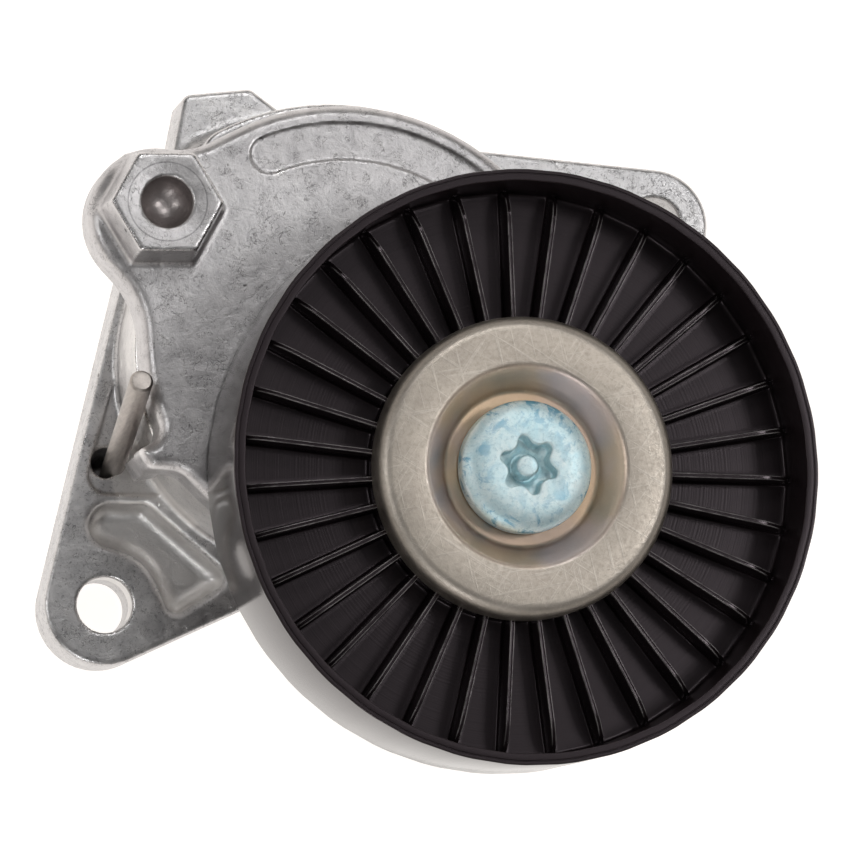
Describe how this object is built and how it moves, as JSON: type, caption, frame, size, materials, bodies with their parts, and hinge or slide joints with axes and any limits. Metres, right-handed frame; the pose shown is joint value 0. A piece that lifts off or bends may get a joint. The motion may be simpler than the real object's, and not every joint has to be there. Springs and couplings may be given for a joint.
{
  "type": "belt tensioner idler",
  "caption": "Spring-loaded belt tensioner: cast housing with bolt ears, swinging arm with a hex for a wrench, ribbed idler pulley on a ball bearing, and a locking pin.",
  "frame": {"origin": "on the arm's pivot axis, at the housing's flat mounting face", "axes": "+Z along the pivot and pulley axes, away from the mounting face; +X towards the right-hand bolt ear's side; +Y towards the plain lug"},
  "size_m": [0.109, 0.1093, 0.061],
  "materials": {
    "cast_housing": "die-cast, satin with fine dark pits and lighter rubbed edges",
    "cast_arm": "die-cast, mottled satin with bright edges",
    "black_polyamide": "glass-filled black plastic, fine turned lines, semi-gloss",
    "zinc_plate": "pressed sheet steel, warm zinc plating with bright rolled edges",
    "blue_zinc": "light blue zinc plating with darker stains",
    "bearing_steel": "ground bearing steel",
    "plain_steel": "drawn steel, satin",
    "spring_steel": "oiled dark spring steel",
    "bronze": "sintered bronze, oily",
    "seal_rubber": "matte nitrile rubber",
    "liner_plastic": "brown-filled nylon"
  },
  "bodies": {
    "housing": {"base_housing": "cast_housing", "pivot_shaft": "plain_steel", "spring_seat": "liner_plastic", "damping_ring": "liner_plastic", "torsion_spring": "spring_steel", "retaining_ring": "spring_steel"},
    "arm": {"tension_arm": "cast_arm", "pivot_bush": "bronze", "thrust_washer": "bronze", "bearing_spacer": "plain_steel", "rear_dust_shield": "zinc_plate", "bearing_inner_ring": "bearing_steel", "dust_cap": "zinc_plate", "pulley_bolt": "blue_zinc"},
    "pulley": {"pulley_wheel": "black_polyamide", "bearing_outer_ring": "bearing_steel", "bearing_seal_front": "seal_rubber", "bearing_seal_rear": "seal_rubber"},
    "ball_set": {"bearing_cage": "liner_plastic", "bearing_ball_1": "bearing_steel", "bearing_ball_2": "bearing_steel", "bearing_ball_3": "bearing_steel", "bearing_ball_4": "bearing_steel", "bearing_ball_5": "bearing_steel", "bearing_ball_6": "bearing_steel", "bearing_ball_7": "bearing_steel", "bearing_ball_8": "bearing_steel"},
    "pin": {"lock_pin": "plain_steel"}
  },
  "joints": [
    {"name": "arm_swing", "type": "hinge", "parent": "housing", "child": "arm", "pos_m": [0, 0, 0.0325], "axis": [0, 0, 1], "range_deg": [0, 15], "stiffness_Nm_per_rad": 12, "springref_deg": -51.57, "deforming": ["torsion_spring"]},
    {"name": "pulley_spin", "type": "hinge", "parent": "arm", "child": "pulley", "pos_m": [0.0214, -0.0211, 0.0481], "axis": [0, 0, 1], "continuous": true},
    {"name": "cage_spin", "type": "hinge", "parent": "arm", "child": "ball_set", "pos_m": [0.0214, -0.0211, 0.0481], "axis": [0, 0, 1], "continuous": true},
    {"name": "pin_pull", "type": "slide", "parent": "housing", "child": "pin", "axis": [-0.0212, 0.251, 0.9678], "range_m": [0, 0.035]}
  ],
  "couplings": [
    {"joint": "cage_spin", "follows": "pulley_spin", "ratio": 0.618}
  ]
}
